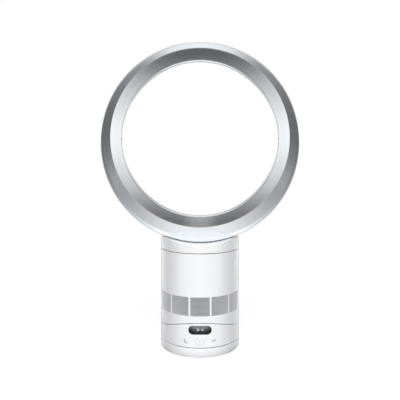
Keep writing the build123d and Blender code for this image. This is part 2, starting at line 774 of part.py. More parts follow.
boss_radius = shaft_radius + impeller_boss
boss_top = hub_high - impeller_boss
with BuildPart() as impeller:
    turned([
        (shaft_radius + shaft_press, hub_low),
        (hub_nose, hub_low),
        (hub_nose + hub_wall, hub_low + nose_height),
        (hub_foot, hub_high),
        (hub_foot - hub_wall, hub_high),
        (boss_radius, hub_low + 2 * nose_height),
        (boss_radius, boss_top),
        (shaft_radius + shaft_press, boss_top),
    ])
    with PolarLocations(0, blade_count):
        add(blade.part)
save(impeller, "impeller")

vane_bottom = bucket_floor + vane_lift
with BuildPart() as diffuser:
    sweep_radius = vane_height / radians(vane_turn)
    with BuildSketch(Plane.YZ.offset(bucket_radius + vane_rim / 2)):
        with BuildLine():
            vane_line = CenterArc((sweep_radius, vane_bottom + vane_height), sweep_radius, 180,
                                  vane_turn)
            offset(vane_line, amount=vane_wall / 2)
        make_face()
    extrude(amount=duct_radius - bucket_radius - vane_rim)
    vane = diffuser.part
    with PolarLocations(0, vane_count):
        add(vane)
    disc(bucket_radius + vane_rim, vane_bottom, vane_height, bore=bucket_radius + bearing_gap)
    disc(duct_radius - bearing_gap, vane_bottom, vane_height, bore=duct_radius - vane_rim)
save(diffuser, "diffuser")

# ---- Nozzle ---------------------------------------------------------------------------
with BuildPart() as bayonet_collar:
    disc(plate_radius, collar_seam - collar_depth, collar_depth + collar_reach,
         bore=plate_radius - collar_wall)
save(bayonet_collar, "bayonet_collar")

with BuildPart() as neck_seal:
    disc(plate_radius, collar_top, seal_height, bore=plate_radius - seal_width)
save(neck_seal, "neck_seal")


def below_ring(wall):
    """Takes the ring's round form, with a wall round it, out of the neck."""
    extrude(round_at(-body_radius, ring_radius + wall, ring_height),
            amount=-2 * body_radius, mode=Mode.SUBTRACT)


with BuildPart() as neck_hollow:
    disc(inner_radius, neck_bottom, ring_height - neck_bottom)
    below_ring(neck_roof)

with BuildPart() as nozzle_neck:
    disc(body_radius, neck_bottom, ring_height - neck_bottom)
    below_ring(0)
    add(neck_hollow.part, mode=Mode.SUBTRACT)
    air_port()
save(nozzle_neck, "nozzle_neck")

with BuildPart() as casing_hollow:
    nozzle_block(lip_front + lip_depth, shoulder + lip_depth, ring_rear - casing_wall, casing_wall)
    fillet(casing_hollow.edges().group_by(Axis.Y)[-1], ring_rear_fillet - casing_wall)

curl_out = curl_tip + curl_radius
with BuildPart() as nozzle_outer_casing:
    nozzle_block(lip_front, shoulder, ring_rear, 0)
    fillet(nozzle_outer_casing.edges().group_by(Axis.Y)[-1], ring_rear_fillet)
    add(casing_hollow.part, mode=Mode.SUBTRACT)
    spun([(lip_front, 0), (lip_front, lip_bore), (shoulder, bore_radius(shoulder)), (shoulder, 0)],
         mode=Mode.SUBTRACT)
    spun([(ring_rear - 2 * casing_wall, 0), (ring_rear - 2 * casing_wall, curl_out),
          (ring_rear, curl_out), (ring_rear, 0)], mode=Mode.SUBTRACT)
    with BuildSketch(Plane((0, 0, bore_height), x_dir=(0, 1, 0), z_dir=(1, 0, 0))):
        with BuildLine():
            CenterArc((curl_middle, curl_out), curl_radius, 270, 90)
            CenterArc((curl_middle, curl_out), curl_radius - inner_wall, 270, 90)
            Polyline((curl_middle, curl_tip), (throat, curl_tip), (throat, curl_edge),
                     (curl_middle, curl_edge))
            Polyline((ring_rear, curl_out), (ring_rear, curl_out + wall_bite),
                     (ring_rear - inner_wall, curl_out + wall_bite), (ring_rear - inner_wall, curl_out))
        make_face()
    revolve(axis=bore_axis)
    air_port()
save(nozzle_outer_casing, "nozzle_outer_casing")

casing_front = lip_front + lip_depth
with BuildPart() as nozzle_inner_casing:
    with BuildSketch(Plane((0, 0, bore_height), x_dir=(0, 1, 0), z_dir=(1, 0, 0))):
        with BuildLine():
            Polyline((curl_middle, throat_radius), (throat, throat_radius),
                     (casing_front, bore_radius(casing_front)),
                     (casing_front, bore_radius(casing_front) + inner_wall),
                     (throat, throat_radius + inner_wall), (curl_middle, throat_radius + inner_wall))
            CenterArc((curl_middle, throat_radius + flare_radius), flare_radius, 270, 90)
            CenterArc((curl_middle, throat_radius + flare_radius), flare_radius - inner_wall, 270, 90)
            Line((curl_middle + flare_radius, throat_radius + flare_radius),
                 (curl_middle + flare_radius - inner_wall, throat_radius + flare_radius))
        make_face()
    revolve(axis=bore_axis)
save(nozzle_inner_casing, "nozzle_inner_casing")

with BuildPart() as slot_spacers:
    with BuildSketch(Plane.XZ.offset(-throat - spacer_inset)):
        with Locations((0, bore_height)):
            with PolarLocations(throat_radius - outlet_slot / 2, spacer_count):
                Rectangle(outlet_slot - 2 * screw_fit, spacer_length)
    extrude(amount=-spacer_length)
save(slot_spacers, "slot_spacers")
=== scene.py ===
"""The looks of a desk fan with an annular nozzle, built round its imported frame.

Sizes are in millimetres and are turned to metres where a mesh is made. +Z is up and the front
faces -Y. Angles round the column start at the front and grow towards +X.
"""
import json
import math

import bmesh
import bpy
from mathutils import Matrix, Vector
from mathutils.kdtree import KDTree


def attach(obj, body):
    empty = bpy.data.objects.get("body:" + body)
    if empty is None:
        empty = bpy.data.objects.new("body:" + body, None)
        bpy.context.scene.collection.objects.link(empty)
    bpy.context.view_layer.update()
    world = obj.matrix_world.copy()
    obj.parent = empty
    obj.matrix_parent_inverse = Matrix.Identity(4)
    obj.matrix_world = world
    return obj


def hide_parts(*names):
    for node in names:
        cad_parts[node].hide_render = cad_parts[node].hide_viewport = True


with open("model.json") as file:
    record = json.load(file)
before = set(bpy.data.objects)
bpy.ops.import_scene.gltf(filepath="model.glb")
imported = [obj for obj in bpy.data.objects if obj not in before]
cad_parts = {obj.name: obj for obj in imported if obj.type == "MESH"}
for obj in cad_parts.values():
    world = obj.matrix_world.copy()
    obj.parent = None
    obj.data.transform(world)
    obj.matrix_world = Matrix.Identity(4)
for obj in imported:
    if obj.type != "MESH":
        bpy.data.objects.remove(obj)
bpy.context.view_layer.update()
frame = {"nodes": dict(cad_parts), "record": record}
nodes = frame["nodes"]
scene = bpy.context.scene

MM = 0.001
TAU = 2 * math.pi

# ---- Sizes: the column ---------------------------------------------------------------
SKIN = 71.66  # outer radius of every shell
INNER = 69.1  # inner radius of every shell
EDGE = 0.25  # rounding of the edges at the seams
FOOT_BOTTOM = 0.8
FOOT_TOP = 16.75
FOOT_ROUND = 1.8
FOOT_TAPER = 1.0  # the foot draws in towards the floor
FOOT_SIDE = 7.0  # over this height
DECK_RIM = INNER - 14  # radius of the opening in the foot's deck
DECK_SPLIT = 12.0  # level of an edge round that opening
DECK_BOTTOM = 9.5
BASE_BOTTOM = 17.9
TILT_AXIS = 206.0
BASE_CRADLE = 162.5  # radii of the tilting seam, round the tilt axis
BODY_CRADLE = 161.5
BODY_TOP = 180.3
NECK_BOTTOM = 181.45
NECK_LIP = 3.0  # width of the neck's edge round its cap
NECK_ROOF = 3.0  # thickness of the cap
CAP_RADII = (60, 50, 40, 30, 20, 10, 0)  # rings of points on the cap and under it
ROOF_RADII = (0, 20, 40, 60, INNER)
SHADE_STRIP_INNER = 69.2  # radii of the dark strips in the seams, painted shade where a seam falls into shadow
SHADE_STRIP_OUTER = 71.1
SHADE_STRIP_GAP = 0.05  # clearance of a strip at each side of its seam
SWING_GAP = 0.15  # and under the base, which slides over it
GLAND_LEVEL = 8.4
GLAND_HOLE = 4.5
FRONT_CUT = (-SKIN - 4, -INNER + 8)  # depths from which to which the shells are cut
BACK_CUT = (INNER - 4, SKIN + 4)

# ---- Sizes: the intake ---------------------------------------------------------------
WINDOWS = 12
INTAKE_BOTTOM = 72.5
INTAKE_TOP = 105.3
DIVIDER = 2.0  # width of the shell between two windows
PANEL_WALL = 1.6
PANEL_SINK = 0.12  # the panels lie this far under the shell's skin
TOOTH_SINK = 0.02  # and the teeth beside the dividers this far
HOLE_ROWS = 16
HOLE_COLUMNS = 16
HOLE_RADIUS = 0.96
CELL_MERGE = 0.02  # corners of neighbouring cells meet within this

# ---- Sizes: the controls -------------------------------------------------------------
LENS_HALF = 20.15  # half the length
LENS_ROUND = 7.8  # half the height, as the ends are round
LENS_LEVEL = 48.4
LENS_GAP = 0.1
LENS_SINK = 0.12  # how far its round ends lie under the shell's skin
LENS_CROWN = 0.12  # and how much deeper its edge lies
LENS_WALL = 1.6
BUTTON_ROUND = 7.3
BUTTON_LEVEL = 29.7
BUTTON_GAP = 0.42
BUTTON_SINK = 0.1
BUTTON_CROWN = -0.1  # the button is slightly hollow
BUTTON_WALL = 3.2
INLAY_DROP = 0.35  # how far an inlay's rounded edge falls
INLAY_EDGE = ((1.0, 1.0), (0.992, 0.45), (0.97, 0.12), (0.94, 0.0))  # way out, share of the drop
INLAY_FACE = (0.8, 0.6, 0.4, 0.2, 0.0)  # way out of the face's rings
STUB = 0.001  # straight length of a pill that is all but a disc
PRINT_RISE = 0.03
TIP_HALF = 0.02  # half the width of a printed wedge's tip

# ---- Sizes: the nozzle ---------------------------------------------------------------
BORE_AXIS = 381.3  # height of the middle of the bore, the lip and the curl
RING_AXIS = 373.2  # height of the middle of the outer wall
RING = 178.8  # outer radius
LIP = 157.05  # outer radius of the front edge
LIP_FRONT = -54.0
LIP_BORE = 156.9  # its inner radius
LIP_BORE_EDGE = 0.07
LIP_EDGE = 0.1
SHOULDER = -40.0  # depth where the front slope meets the outer wall
SHOULDER_ROUND = 8.5
REAR = 50.0
REAR_ROUND = 10.0
REAR_TURN = (82, 8)  # degrees of its arc, from the outer wall to the back
CASING_WALL = 2.5
INNER_WALL = 1.8
THROAT = 149.7  # radius of the bore beside the slot
THROAT_DEPTH = 32.0
BORE_START = 0.48  # slope of the bore at the throat, against a straight cone
JOINT_DEPTH = -51.2  # where the inner casing meets the lip
JOINT_GAP = 0.25
JOINT_EDGE = 0.3
CURL_DEPTH = 38.0
CURL = 12.0  # radius of the curl that leads the air round into the slot
CURL_TIP = 146.7  # radius of the opening that it leaves
NOSE_WALL = 2.9  # thickness of the curl's end beside the slot
NOSE_EDGE = 0.5
FLARE = 6.0  # radius of the inner casing's flared end, inside the curl
QUARTER = 90  # degrees of the arcs at the back

# ---- Divisions -----------------------------------------------------------------------
COLUMN_STEPS = 240  # round the column
RING_STEPS = 320  # round the nozzle
BORE_STEPS = 12  # along the bore
WINDOW_STEPS = 10  # round one intake window
PILL_STEPS = 14  # round one end of a cut opening
INLAY_STEPS = 20  # round one end of the lens or the button
HOLD = 1.15  # a point this many radii from a rounded corner keeps the side beside it flat
HOLD_ROOM = 2.4  # where the side is longer than this many radii
SHARP = 35  # degrees from which an edge of the column stays sharp
NOZZLE_SHARP = 40
INLAY_SHARP = 50
SAME_POINT = 0.002  # points nearer to each other are one
NO_LENGTH = 0.001  # and shorter edges go
ON_SKIN = 0.02  # how near a corner lies to the outer wall it belongs to


# ---- Shader and geometry maths -------------------------------------------------------
class Wire:
    """A node socket that takes Python arithmetic."""

    def __init__(self, tree, socket):
        self.tree = tree
        self.socket = socket

    def math(self, operation, *others):
        node = self.tree.nodes.new("ShaderNodeMath")
        node.operation = operation
        for number, value in enumerate((self, *others)):
            plug(self.tree, node.inputs[number], value)
        return Wire(self.tree, node.outputs[0])

    def __add__(self, other):
        return self.math("ADD", other)

    __radd__ = __add__

    def __mul__(self, other):
        return self.math("MULTIPLY", other)

    __rmul__ = __mul__

    def __sub__(self, other):
        return self.math("SUBTRACT", other)

    def __rsub__(self, other):
        return (self * -1.0).math("ADD", other)

    def __truediv__(self, other):
        return self.math("DIVIDE", other)

    def __mod__(self, other):
        return self.math("MODULO", other)

    def over(self, other):
        return self.math("GREATER_THAN", other)

    def floor(self):
        return self.math("FLOOR")

    def size(self):
        return self.math("ABSOLUTE")


def plug(tree, socket, value):
    """Links a wire to a socket, or sets the socket's own value."""
    if isinstance(value, Wire):
        tree.links.new(value.socket, socket)
    elif socket.type == "RGBA" and len(value) == 3:
        socket.default_value = (*value, 1.0)
    else:
        socket.default_value = value


class Graph:
    """One node tree, with a method that adds any node."""

    def __init__(self, tree):
        self.tree = tree

    def node(self, kind, settings=None, stops=None, out=0, **sockets):
        """A socket goes by its name, with _ for a space, or by i and its number."""
        made = self.tree.nodes.new(kind)
        for name, value in (settings or {}).items():
            setattr(made, name, value)
        if stops:
            ramp = made.color_ramp
            while len(ramp.elements) < len(stops):
                ramp.elements.new(1.0)
            for element, (position, tone) in zip(ramp.elements, stops):
                element.position = position
                element.color = (*(tone if hasattr(tone, "__len__") else (tone,) * 3), 1.0)
        for name, value in sockets.items():
            numbered = name[0] == "i" and name[1:].isdigit()
            key = int(name[1:]) if numbered else name.replace("_", " ")
            plug(self.tree, made.inputs[key], value)
        return Wire(self.tree, made.outputs[out])

    def separate(self, vector):
        parts = self.node("ShaderNodeSeparateXYZ", i0=vector).socket.node
        return [Wire(self.tree, output) for output in parts.outputs]

    def step(self, value, low, high):
        """0 below low, 1 above high, and smooth between."""
        return self.node("ShaderNodeMapRange", {"interpolation_type": "SMOOTHSTEP"},
                         Value=value, From_Min=low, From_Max=high)

    def tone(self, value, stops):
        """A number up to 2 that follows stops, each a value from -1 to 1 and the number there."""
        half = [((position + 1) / 2, level / 2) for position, level in stops]
        return self.node("ShaderNodeValToRGB", stops=half, Fac=(value + 1.0) * 0.5) * 2.0


class Finish(Graph):
    """A material with one Principled shader."""

    def __init__(self, name, colour, roughness, **constants):
        self.material = bpy.data.materials.new(name)
        self.material.use_nodes = True
        super().__init__(self.material.node_tree)
        self.shader = self.tree.nodes["Principled BSDF"]
        self.set(Base_Color=colour, Roughness=roughness, **constants)
        self.place = self.node("ShaderNodeTexCoord", out="Object")

    def set(self, **sockets):
        for name, value in sockets.items():
            plug(self.tree, self.shader.inputs[name.replace("_", " ")], value)

    def noise(self, scale, detail=3.0):
        return self.node("ShaderNodeTexNoise", Vector=self.place, Scale=scale, Detail=detail)

    def lines(self, across, detail):
        """Noise that changes along one number only."""
        return self.node("ShaderNodeTexNoise", {"noise_dimensions": "1D"}, W=across,
                         Detail=detail)

    def spots(self, scale, out="Distance"):
        return self.node("ShaderNodeTexVoronoi", out=out, Vector=self.place, Scale=scale)

    def blend(self, factor, low, high):
        """A colour between two others."""
        return self.node("ShaderNodeMix", {"data_type": "RGBA"}, out=2,
                         i0=factor, i6=low, i7=high)

    def bump(self, height, depth, strength=1.0):
        """Relief of a depth in metres."""
        self.set(Normal=self.node("ShaderNodeBump", Strength=strength, Distance=depth,
                                  Height=height))


def shade(colour, factor):
    """A colour made darker or lighter."""
    return tuple(min(1.0, part * factor) for part in colour)


def moulded(name, colour, roughness, grain, depth, mottle=0.04, gloss_spread=0.06, **constants):
    """Moulded plastic: a faint change of tone and gloss, and a fine surface grain."""
    finish = Finish(name, colour, roughness, **constants)
    broad = finish.noise(14.0)
    fine = finish.noise(grain, detail=4.0)
    finish.set(
        Base_Color=finish.blend(broad, shade(colour, 1 - mottle), shade(colour, 1 + mottle)),
        Roughness=(fine - 0.5) * gloss_spread + (broad - 0.5) * gloss_spread + roughness,
    )
    finish.bump(fine, depth)
    return finish.material


def lacquered(name, colour, roughness):
    """Silver lacquer: metal flakes under a clear coat."""
    finish = Finish(name, colour, roughness, Metallic=1.0, Coat_Roughness=0.06, Coat_IOR=1.5)
    broad = finish.noise(9.0)
    flakes = finish.spots(4200.0, out="Color")
    speck = finish.separate(flakes)[0]
    finish.set(
        Base_Color=finish.blend(speck, shade(colour, 0.96), shade(colour, 1.04)),
        Roughness=(speck - 0.5) * 0.04 + (broad - 0.5) * 0.03 + roughness,
        Coat_Weight=(broad - 0.5) * 0.1 + 0.3,
    )
    finish.bump(speck, 0.000002, 0.3)
    return finish.material


def brushed(name, colour, roughness, scale):
    """Plated steel with fine lines round the upright axis."""
    finish = Finish(name, colour, roughness, Metallic=1.0)
    height = finish.separate(finish.place)[2]
    lines = finish.lines(height * scale, 2.0)
    stain = finish.noise(60.0)
    finish.set(
        Base_Color=finish.blend(stain, shade(colour, 0.9), shade(colour, 1.06)),
        Roughness=(lines - 0.5) * 0.15 + (stain - 0.5) * 0.1 + roughness,
    )
    finish.bump(lines, 0.00001, 0.6)
    return finish.material


def foamed(name, colour):
    """Open-cell foam."""
    finish = Finish(name, colour, 0.95)
    cells = finish.spots(900.0)
    finish.set(Base_Color=finish.blend(cells, shade(colour, 0.4), shade(colour, 1.5)))
    finish.bump(cells, 0.0006)
    return finish.material


def soldered(name, colour):
    """A printed board: lacquer over fine tracks."""
    finish = Finish(name, colour, 0.35, Coat_Roughness=0.2)
    across = finish.separate(finish.place)[0]
    tracks = finish.step(finish.lines(across * 420.0, 1.0), 0.5, 0.54)
    finish.set(
        Base_Color=finish.blend(tracks, shade(colour, 0.8), shade(colour, 1.7)),
        Roughness=finish.noise(90.0) * 0.1 + 0.3,
    )
    finish.bump(tracks, 0.00004)
    return finish.material


def smoked(name, low_tone, painted_reflection_tone):
    """A smoked window with a painted reflection: its colour brightens towards its upper edge and
    gives way to a darker tone at its ends.
    """
    finish = Finish(name, low_tone, 0.08, Specular_IOR_Level=0.2)
    x, _, z = finish.separate(finish.place)
    rise = (z / MM - LENS_LEVEL) / LENS_ROUND
    # Painted reflection of the bright light above: the colour climbs from dark to pale with
    # height.
    fade = finish.node("ShaderNodeValToRGB", stops=(
        (0.0, shade(painted_reflection_tone, 0.25)), (0.12, low_tone), (0.45, shade(painted_reflection_tone, 0.16)),
        (0.7, shade(painted_reflection_tone, 0.6)), (0.95, painted_reflection_tone), (1.0, shade(painted_reflection_tone, 1.3)),
    ), Fac=rise * 0.5 + 0.5)
    # Towards the ends the painted reflection gives way to a darker tone.
    ends = finish.step(x.size() / (LENS_HALF * MM), 0.35, 0.95) * 0.72
    dust = finish.noise(260.0)
    finish.set(
        Base_Color=finish.blend(ends, fade, shade(low_tone, 0.5)),
        Roughness=dust * 0.05 + 0.06,
    )
    finish.bump(dust, 0.000003, 0.4)
    return finish.material


def inked(name, colour, glow=0.0):
    """Pad-printed ink, with light behind it where it glows."""
    finish = Finish(name, colour, 0.4, Emission_Color=colour, Emission_Strength=glow)
    grain = finish.noise(3000.0)
    finish.set(
        Base_Color=finish.blend(grain, shade(colour, 0.9), shade(colour, 1.08)),
        Roughness=grain * 0.2 + 0.35,
    )
    finish.bump(grain, 0.000004)
    return finish.material


# ---- Finishes ------------------------------------------------------------------------
white_plastic = moulded(
    "white_gloss_plastic", (0.86, 0.867, 0.882), roughness=0.12, grain=900.0, depth=0.000003,
    mottle=0.008, gloss_spread=0.03, Coat_Weight=0.8, Coat_Roughness=0.05, Coat_IOR=1.5)
panel_plastic = moulded(
    "perforated_plastic", (0.572, 0.578, 0.59), roughness=0.3, grain=1500.0, depth=0.00001,
    mottle=0.02, Coat_Weight=0.5, Coat_Roughness=0.1, Sheen_Weight=0.55, Sheen_Roughness=0.4)
silver = lacquered("silver_lacquer", (0.778, 0.808, 0.834), roughness=0.2)
smoked_window = smoked("smoked_window", low_tone=(0.006, 0.006, 0.007),
                       painted_reflection_tone=(0.26, 0.265, 0.28))
foam = foamed("silencing_foam", (0.07, 0.07, 0.075))
print_ink = inked("grey_print", (0.4, 0.41, 0.43))
lit_ink = inked("lit_sign", (0.42, 0.43, 0.44), glow=0.1)
finishes = {
    "white_shell": white_plastic,
    "silver_nozzle": silver,
    "grille": panel_plastic,
    "smoked_window": smoked_window,
    "grey_plastic": moulded("grey_plastic", (0.32, 0.33, 0.34), roughness=0.45, grain=1100.0,
                            depth=0.00003),
    "impeller_plastic": moulded("glass_filled_plastic", (0.11, 0.11, 0.12), roughness=0.4,
                                grain=1600.0, depth=0.00003),
    "gear_plastic": moulded("acetal", (0.82, 0.80, 0.74), roughness=0.35, grain=800.0,
                            depth=0.00001),
    "steel": brushed("zinc_plated_steel", (0.62, 0.62, 0.63), roughness=0.3, scale=9000.0),
    "motor_steel": brushed("motor_steel", (0.52, 0.52, 0.54), roughness=0.38, scale=5000.0),
    "board": soldered("circuit_board", (0.03, 0.2, 0.09)),
    "foam": foam,
    "rubber": moulded("soft_rubber", (0.16, 0.16, 0.165), roughness=0.7, grain=1300.0,
                      depth=0.00005),
}

for part in frame["record"]["subparts"]:
    materials = nodes[part["node"]].data.materials
    materials.clear()
    materials.append(finishes[part["material_slot"]])
nodes["slot_spacers"].data.materials[0] = silver  # they show beside the slot


# ---- Mesh forms ----------------------------------------------------------------------
def place(mesh, name, material, body, replaced=()):
    """Makes a finished piece of a mesh and says what carries it."""
    piece = bpy.data.objects.new(name, mesh)
    scene.collection.objects.link(piece)
    mesh.materials.clear()
    mesh.materials.append(material)
    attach(piece, body)
    if replaced:
        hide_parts(*replaced)


def as_mesh(name, points, faces, sharp=None):
    """A closed, outward-facing mesh of points in millimetres, smooth where sharp is given."""
    form = bmesh.new()
    corners = [form.verts.new(Vector(p) * MM) for p in points]
    for face in faces:
        form.faces.new([corners[i] for i in face])
    bmesh.ops.remove_doubles(form, verts=form.verts, dist=SAME_POINT * MM)
    bmesh.ops.dissolve_degenerate(form, edges=form.edges, dist=NO_LENGTH * MM)
    bmesh.ops.recalc_face_normals(form, faces=form.faces)
    mesh = bpy.data.meshes.new(name)
    form.to_mesh(mesh)
    form.free()
    if sharp is not None:
        mesh.shade_smooth()
        mesh.set_sharp_from_angle(angle=math.radians(sharp))
    return mesh


def rounded(corners, closed=True, segments=5):
    """Points along a path whose corners (point, radius) are rounded."""
    path = []
    count = len(corners)
    for index, (point, radius) in enumerate(corners):
        here = Vector(point)
        inside = closed or 0 < index < count - 1
        if radius <= 0 or not inside:
            path.append(here)
            continue
        before = Vector(corners[index - 1][0]) - here
        after = Vector(corners[(index + 1) % count][0]) - here
        start = here + before.normalized() * min(radius, before.length / 2)
        end = here + after.normalized() * min(radius, after.length / 2)
        if before.length > radius * HOLD_ROOM:
            path.append(here + before.normalized() * radius * HOLD)
        for number in range(segments + 1):
            t = number / segments
            path.append(start * (1 - t) ** 2 + here * 2 * t * (1 - t) + end * t**2)
        if after.length > radius * HOLD_ROOM:
            path.append(here + after.normalized() * radius * HOLD)
    return path


def lofted(rings, closed, cut=lambda row, column: False):
    """Points and faces of a skin over rings of points, which close on themselves."""
    rows, columns = len(rings), len(rings[0])
    points = [p for ring in rings for p in ring]
    faces = []
    for row in range(rows if closed else rows - 1):
        for column in range(columns):
            if not cut(row, column):
                near, far = row * columns, (row + 1) % rows * columns
                right = (column + 1) % columns
                faces.append((near + column, near + right, far + right, far + column))
    return points, faces


def round_column(angle, radius, height):
    """A point at an angle from the front of the column."""
    return (radius * math.sin(angle), -radius * math.cos(angle), height)


def column_rings(profile, angles):
    """Rings of points round the column, whose profile may change with the angle."""
    paths = [profile(angle) for angle in angles]
    return [
        [round_column(angle, path[row][0], path[row][1]) for angle, path in zip(angles, paths)]
        for row in range(len(paths[0]))
    ]


def turned(name, profile):
    """A closed shell turned round the column."""
    return as_mesh(name, *lofted(column_rings(profile, fine_angles), True), sharp=SHARP)


def about_bore(corners):
    """Rings round the bore from a path of depths, radii and heights of their middles."""
    spokes = [TAU * number / RING_STEPS for number in range(RING_STEPS)]
    return [
        [(radius * math.sin(spoke), depth, middle + radius * math.cos(spoke))
         for spoke in spokes]
        for depth, radius, middle in rounded(corners)
    ]


def arc(middle, radius, start, end, segments, height):
    """Corners of an arc, in depth and radius."""
    steps = [math.radians(start + (end - start) * n / segments) for n in range(segments + 1)]
    return [((middle[0] + radius * math.cos(a), middle[1] + radius * math.sin(a), height), 0)
            for a in steps]


def cradle_edge(radius, angle, cradle):
    """Height of the tilting seam at an angle round the column."""
    depth = radius * math.cos(angle)
    return TILT_AXIS - math.sqrt(cradle**2 - depth**2)


def carve(mesh, cutters):
    """Cuts solids out of a mesh."""
    whole = bpy.data.objects.new("whole", mesh)
    scene.collection.objects.link(whole)
    tools = []
    for cutter in cutters:
        tool = bpy.data.objects.new("tool", cutter)
        scene.collection.objects.link(tool)
        tools.append(tool)
        change = whole.modifiers.new("cut", "BOOLEAN")
        change.operation = "DIFFERENCE"
        change.solver = "EXACT"
        change.object = tool
    view = bpy.context.evaluated_depsgraph_get()
    result = bpy.data.meshes.new_from_object(whole.evaluated_get(view))
    for extra in (whole, *tools):
        bpy.data.objects.remove(extra)
    return result


def true_round(mesh):
    """Gives the faces of the outer wall the column's exact normals, however they are cut."""
    mesh.shade_smooth()
    mesh.set_sharp_from_angle(angle=math.radians(SHARP))
    normals = [Vector(corner.vector) for corner in mesh.corner_normals]
    for face in mesh.polygons:
        corners = [mesh.vertices[i].co for i in face.vertices]
        if all(abs(Vector((c.x, c.y)).length - SKIN * MM) < ON_SKIN * MM for c in corners):
            for loop in face.loop_indices:
                at = mesh.vertices[mesh.loops[loop].vertex_index].co
                normals[loop] = Vector((at.x, at.y, 0)).normalized()
    mesh.normals_split_custom_set(normals)
    return mesh


fine_angles = [TAU * number / COLUMN_STEPS for number in range(COLUMN_STEPS)]


# ---- The nozzle ----------------------------------------------------------------------
def bore(depth):
    """Radius of the bore, whose wall swells gently and opens towards the front."""
    way = (THROAT_DEPTH - depth) / (THROAT_DEPTH - LIP_FRONT)
    return THROAT + (LIP_BORE - THROAT) * (BORE_START * way + (1 - BORE_START) * way**2)


curl_middle = (CURL_DEPTH, CURL_TIP + CURL)
outer_path = [
    ((JOINT_DEPTH, bore(JOINT_DEPTH), BORE_AXIS), 0),
    ((LIP_FRONT, LIP_BORE, BORE_AXIS), LIP_BORE_EDGE),
    ((LIP_FRONT, LIP, BORE_AXIS), LIP_EDGE),
    ((SHOULDER, RING, RING_AXIS), SHOULDER_ROUND),
    ((REAR - REAR_ROUND, RING, RING_AXIS), 0),
    *arc((REAR - REAR_ROUND, RING - REAR_ROUND), REAR_ROUND, *REAR_TURN, 10, RING_AXIS),
    ((REAR, RING - REAR_ROUND, RING_AXIS), 0),
    *arc(curl_middle, CURL, 0, -QUARTER, 14, BORE_AXIS),
    ((THROAT_DEPTH, CURL_TIP + NOSE_WALL, BORE_AXIS), NOSE_EDGE),
    *arc(curl_middle, CURL - INNER_WALL, -QUARTER, 0, 10, BORE_AXIS),
    ((REAR - CASING_WALL, RING - REAR_ROUND, RING_AXIS), 0),
    ((REAR - REAR_ROUND, RING - CASING_WALL, RING_AXIS), 0),
    ((SHOULDER + CASING_WALL, RING - CASING_WALL, RING_AXIS), 0),
    ((JOINT_DEPTH, LIP, BORE_AXIS), 0),
]
outer_casing = as_mesh("nozzle_outer_skin", *lofted(about_bore(outer_path), True),
                       sharp=NOZZLE_SHARP)
place(outer_casing, "nozzle_outer_skin", silver, "body",
      ["nozzle_outer_casing"])

bore_front = JOINT_DEPTH + JOINT_GAP
bore_depths = [bore_front + (THROAT_DEPTH - bore_front) * n / BORE_STEPS
               for n in range(BORE_STEPS + 1)]
flare_middle = (CURL_DEPTH, THROAT + FLARE)
inner_path = [
    *(((depth, bore(depth), BORE_AXIS), JOINT_EDGE if depth == bore_front else 0)
      for depth in bore_depths),
    *arc(flare_middle, FLARE, -QUARTER, 0, 8, BORE_AXIS),
    *arc(flare_middle, FLARE - INNER_WALL, 0, -QUARTER, 8, BORE_AXIS),
    *(((depth, bore(depth) + INNER_WALL, BORE_AXIS), 0) for depth in reversed(bore_depths)),
]
inner_casing = as_mesh("nozzle_inner_skin", *lofted(about_bore(inner_path), True),
                       sharp=NOZZLE_SHARP)
place(inner_casing, "nozzle_inner_skin", silver, "body",
      ["nozzle_inner_casing"])


# ---- The neck, cut to the ring's round form ------------------------------------------
def under_ring(angle, radius, gap=0.0):
    """Height of the ring's underside over a place in the column."""
    aside = radius * math.sin(angle)
    return RING_AXIS - math.sqrt((RING + gap) ** 2 - aside**2)


def neck_profile(angle):
    """The neck with its cap, from the inside of its lower edge up and over the cap."""
    path = rounded([
        ((INNER, NECK_BOTTOM), 0),
        ((SKIN, NECK_BOTTOM), EDGE),
        ((SKIN, under_ring(angle, SKIN)), EDGE),
        ((SKIN - NECK_LIP, under_ring(angle, SKIN - NECK_LIP)), 0),
    ], closed=False)
    path += [(radius, under_ring(angle, radius)) for radius in CAP_RADII]
    path += [(radius, under_ring(angle, radius, NECK_ROOF)) for radius in ROOF_RADII]
    return [Vector(p) for p in path]


place(turned("neck_skin", neck_profile), "neck_skin", white_plastic, "body",
      ["nozzle_neck"])


# ---- Painted shade: dark strips inside the seams -------------------------------------
def seam_shade_strip(name, body, low, high):
    """A dark strip round the column, between two heights, that paints the shade inside a seam."""
    def profile(angle):
        return [Vector(p) for p in ((SHADE_STRIP_INNER, low), (SHADE_STRIP_OUTER, low),
                                    (SHADE_STRIP_OUTER, high), (SHADE_STRIP_INNER, high))]
    place(turned(name, profile), name, foam, body)


# Painted shade: these dark strips darken the seams where only shadow would fall.
seam_shade_strip("collar_strip", "body", BODY_TOP + SHADE_STRIP_GAP, NECK_BOTTOM - SHADE_STRIP_GAP)
seam_shade_strip("swing_strip", "foot", FOOT_TOP + SHADE_STRIP_GAP, BASE_BOTTOM - SWING_GAP)

# ---- The body, with its intake windows -----------------------------------------------
sector = TAU / WINDOWS
half_window = sector / 2 - math.asin(DIVIDER / 2 / SKIN)
body_angles = [window * sector + half_window * (2 * number / WINDOW_STEPS - 1)
               for window in range(WINDOWS) for number in range(WINDOW_STEPS + 1)]


def body_profile(angle):
    """The body's wall, with rows of points at the lower and upper ends of the windows."""
    return rounded([
        ((INNER, cradle_edge(INNER, angle, BODY_CRADLE)), 0),
        ((SKIN, cradle_edge(SKIN, angle, BODY_CRADLE)), EDGE),
        ((SKIN, INTAKE_BOTTOM), 0),
        ((SKIN, INTAKE_TOP), 0),
        ((SKIN, BODY_TOP), EDGE),
        ((INNER, BODY_TOP), 0),
        ((INNER, INTAKE_TOP), 0),
        ((INNER, INTAKE_BOTTOM), 0),
    ])


